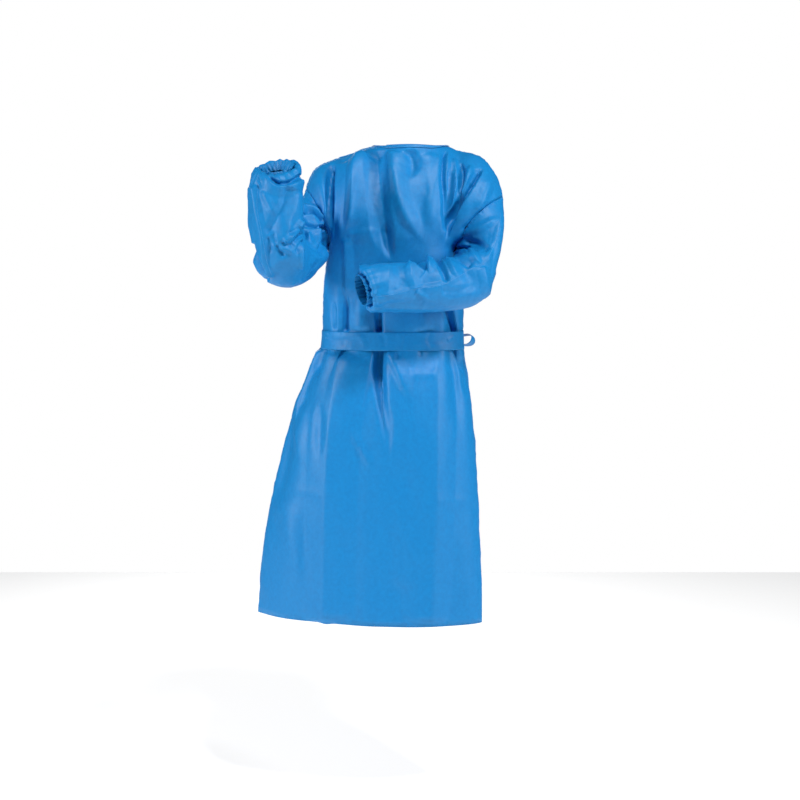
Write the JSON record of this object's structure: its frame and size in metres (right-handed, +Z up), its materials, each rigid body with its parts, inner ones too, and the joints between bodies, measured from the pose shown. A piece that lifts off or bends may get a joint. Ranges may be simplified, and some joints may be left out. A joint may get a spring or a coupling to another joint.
{
  "type": "disposable isolation gown",
  "caption": "Knee-length disposable nonwoven gown in worn, hollow form, with bent long sleeves, elastic cuffs, a tied belt and a tied lapped back.",
  "frame": {"origin": "in the hollow under the neck opening, level with the tops of the shoulders, where the wearer holds the gown up", "axes": "+Z up along the wearer, the front faces -Y, the wearer's left is +X"},
  "size_m": [0.615, 0.4862, 1.1747],
  "materials": {
    "blue_nonwoven": "matt"
  },
  "bodies": {
    "root": {"front": "blue_nonwoven", "back_left": "blue_nonwoven", "back_right": "blue_nonwoven", "sleeve_left": "blue_nonwoven", "sleeve_right": "blue_nonwoven", "forearm_left": "blue_nonwoven", "forearm_right": "blue_nonwoven", "cuff_left": "blue_nonwoven", "cuff_right": "blue_nonwoven", "neck_binding": "blue_nonwoven", "belt": "blue_nonwoven", "belt_knot": "blue_nonwoven", "belt_loop_left": "blue_nonwoven", "belt_loop_right": "blue_nonwoven", "belt_tail_left": "blue_nonwoven", "belt_tail_right": "blue_nonwoven", "neck_tie_knot": "blue_nonwoven", "neck_tie_loop_left": "blue_nonwoven", "neck_tie_loop_right": "blue_nonwoven", "neck_tie_tail_left": "blue_nonwoven", "neck_tie_tail_right": "blue_nonwoven"}
  },
  "joints": []
}
